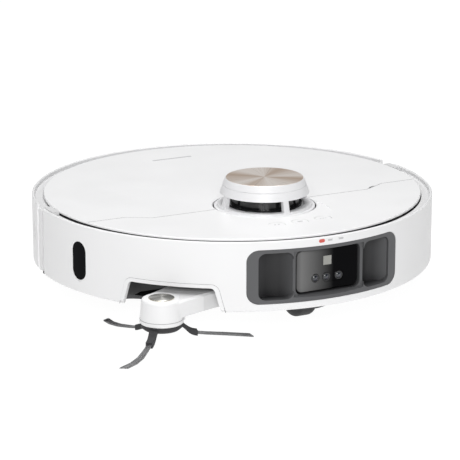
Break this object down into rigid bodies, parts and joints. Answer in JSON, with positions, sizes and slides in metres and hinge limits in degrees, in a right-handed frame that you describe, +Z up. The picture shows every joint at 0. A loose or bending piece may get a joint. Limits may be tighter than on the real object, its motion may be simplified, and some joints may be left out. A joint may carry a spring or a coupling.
{
  "type": "robotic floor cleaner",
  "caption": "Round white floor cleaning robot with a retracting lidar turret, camera bumper, swing-out side brush, roller brush, drive wheels and lifting mop discs.",
  "frame": {"origin": "on the floor, under the round body's own axis", "axes": "+Z up, -Y is the front (camera side), +X is the robot's own left"},
  "size_m": [0.3696, 0.3625, 0.106],
  "materials": {
    "white_shell": "fine satin gloss",
    "white_top": "smooth gloss",
    "white_turret": "satin",
    "tub_plastic": "fine grain",
    "bay_plastic": "fine grain",
    "bezel_plastic": "satin, moulded",
    "camera_glass": "polished",
    "lens_glass": "coated",
    "diffuser": "frosted",
    "sensor_glass": "polished",
    "motor_metal": "drawn can",
    "battery_case": "shrink wrapped",
    "circuit_board": "solder mask",
    "contact_metal": "plated",
    "screw_steel": "zinc plated",
    "champagne_disc": "radially brushed, anodised",
    "rotor_plastic": "smooth",
    "smoked_bin": "smoked",
    "filter_paper": "pleated",
    "brushed_cap": "brushed",
    "brush_rubber": "moulded",
    "bristle_nylon": "nylon strands",
    "caster_rubber": "worn smooth",
    "wheel_rubber": "ribbed",
    "button_plastic": "satin",
    "mop_fabric": "looped microfibre"
  },
  "bodies": {
    "chassis": {"chassis_base": "tub_plastic", "wheel_wells": "bay_plastic", "bin_tray": "tub_plastic", "arm_bay": "bay_plastic", "rear_shell": "white_shell", "front_deck": "white_top", "turret_lift": "bay_plastic", "camera_housing": "bay_plastic", "camera_window": "camera_glass", "rgb_camera_lens": "lens_glass", "depth_camera_lenses": "lens_glass", "fill_light_window": "diffuser", "brush_chamber": "tub_plastic", "brush_guard": "bay_plastic", "main_brush_drive": "motor_metal", "suction_fan": "bay_plastic", "battery_pack": "battery_case", "main_circuit_board": "circuit_board", "charging_contacts": "contact_metal", "dock_window": "sensor_glass", "cliff_sensors": "sensor_glass", "chassis_screws": "screw_steel"},
    "bumper": {"bumper_shell": "white_shell", "camera_bezel": "bezel_plastic", "wall_sensor_window": "sensor_glass", "notch_trim": "white_shell"},
    "turret": {"turret_base": "white_turret", "turret_cap": "white_turret", "turret_disc": "champagne_disc"},
    "turret_rotor": {"lidar_rotor": "rotor_plastic"},
    "left_key": {"button_left": "button_plastic"},
    "middle_key": {"button_middle": "button_plastic"},
    "right_key": {"button_right": "button_plastic"},
    "top_lid": {"lid": "white_top"},
    "dust_bin": {"bin_body": "smoked_bin", "bin_cover": "tub_plastic", "dust_filter": "filter_paper"},
    "brush_arm": {"arm_shell": "white_shell", "arm_cover": "white_shell", "arm_cap": "brushed_cap", "side_brush_motor": "motor_metal"},
    "side_brush": {"side_brush_disc": "brush_rubber", "side_brush_sleeves": "brush_rubber", "side_brush_bristles": "bristle_nylon"},
    "main_brush": {"brush_core": "tub_plastic", "brush_blades": "brush_rubber"},
    "caster_swivel": {"caster_fork": "bay_plastic"},
    "caster_roller": {"caster_wheel": "caster_rubber"},
    "left_suspension": {"wheel_arm_left": "bay_plastic"},
    "left_wheel": {"wheel_hub_left": "tub_plastic", "tyre_left": "wheel_rubber"},
    "left_mop_lift": {"mop_gearbox_left": "bay_plastic"},
    "left_mop": {"mop_holder_left": "tub_plastic", "mop_pad_left": "mop_fabric"},
    "right_suspension": {"wheel_arm_right": "bay_plastic"},
    "right_wheel": {"wheel_hub_right": "tub_plastic", "tyre_right": "wheel_rubber"},
    "right_mop_lift": {"mop_gearbox_right": "bay_plastic"},
    "right_mop": {"mop_holder_right": "tub_plastic", "mop_pad_right": "mop_fabric"}
  },
  "joints": [
    {"name": "bumper_press", "type": "slide", "parent": "chassis", "child": "bumper", "axis": [0, 1, 0], "range_m": [0, 0.004], "stiffness_N_per_m": 700, "springref_m": -0.003},
    {"name": "turret_lift", "type": "slide", "parent": "chassis", "child": "turret", "axis": [0, 0, 1], "range_m": [-0.022, 0]},
    {"name": "lidar_spin", "type": "hinge", "parent": "turret", "child": "turret_rotor", "pos_m": [0, -0.06, 0.088], "axis": [0, 0, 1], "continuous": true},
    {"name": "left_key_press", "type": "slide", "parent": "chassis", "child": "left_key", "axis": [0, 0, 1], "range_m": [-0.0006, 0], "stiffness_N_per_m": 600, "springref_m": 0.0008},
    {"name": "middle_key_press", "type": "slide", "parent": "chassis", "child": "middle_key", "axis": [0, 0, 1], "range_m": [-0.0006, 0], "stiffness_N_per_m": 600, "springref_m": 0.0008},
    {"name": "right_key_press", "type": "slide", "parent": "chassis", "child": "right_key", "axis": [0, 0, 1], "range_m": [-0.0006, 0], "stiffness_N_per_m": 600, "springref_m": 0.0008},
    {"name": "lid_lift", "type": "slide", "parent": "chassis", "child": "top_lid", "axis": [0, 0, 1], "range_m": [0, 0.15]},
    {"name": "bin_lift", "type": "slide", "parent": "chassis", "child": "dust_bin", "axis": [0, 0, 1], "range_m": [0, 0.075]},
    {"name": "arm_swing", "type": "hinge", "parent": "chassis", "child": "brush_arm", "pos_m": [-0.074, -0.128, 0.03], "axis": [0, 0, 1], "range_deg": [-45, 0]},
    {"name": "side_brush_spin", "type": "hinge", "parent": "brush_arm", "child": "side_brush", "pos_m": [-0.1345, -0.135, 0.014], "axis": [0, 0, 1], "continuous": true},
    {"name": "main_brush_spin", "type": "hinge", "parent": "chassis", "child": "main_brush", "pos_m": [0, -0.026, 0.025], "axis": [1, 0, 0], "continuous": true},
    {"name": "left_suspension_swing", "type": "hinge", "parent": "chassis", "child": "left_suspension", "pos_m": [0.101, 0.048, 0.035], "axis": [1, 0, 0], "range_deg": [0, 18], "stiffness_Nm_per_rad": 0.35, "springref_deg": 68.75},
    {"name": "left_wheel_spin", "type": "hinge", "parent": "left_suspension", "child": "left_wheel", "pos_m": [0.118, 0, 0.035], "axis": [1, 0, 0], "continuous": true},
    {"name": "right_suspension_swing", "type": "hinge", "parent": "chassis", "child": "right_suspension", "pos_m": [-0.101, 0.048, 0.035], "axis": [1, 0, 0], "range_deg": [0, 18], "stiffness_Nm_per_rad": 0.35, "springref_deg": 68.75},
    {"name": "right_wheel_spin", "type": "hinge", "parent": "right_suspension", "child": "right_wheel", "pos_m": [-0.118, 0, 0.035], "axis": [1, 0, 0], "continuous": true},
    {"name": "caster_swing", "type": "hinge", "parent": "chassis", "child": "caster_swivel", "pos_m": [0, -0.118, 0.045], "axis": [0, 0, 1], "continuous": true},
    {"name": "caster_roll", "type": "hinge", "parent": "caster_swivel", "child": "caster_roller", "pos_m": [0, -0.122, 0.0175], "axis": [1, 0, 0], "continuous": true},
    {"name": "left_mop_drop", "type": "slide", "parent": "chassis", "child": "left_mop_lift", "axis": [0, 0, 1], "range_m": [-0.0105, 0]},
    {"name": "left_mop_spin", "type": "hinge", "parent": "left_mop_lift", "child": "left_mop", "pos_m": [0.066, 0.088, 0.016], "axis": [0, 0, 1], "continuous": true},
    {"name": "right_mop_drop", "type": "slide", "parent": "chassis", "child": "right_mop_lift", "axis": [0, 0, 1], "range_m": [-0.0105, 0]},
    {"name": "right_mop_spin", "type": "hinge", "parent": "right_mop_lift", "child": "right_mop", "pos_m": [-0.066, 0.088, 0.016], "axis": [0, 0, 1], "continuous": true}
  ],
  "couplings": [
    {"joint": "bin_lift", "follows": "lid_lift", "ratio": 0.5},
    {"joint": "right_mop_drop", "follows": "left_mop_drop", "ratio": 1}
  ]
}
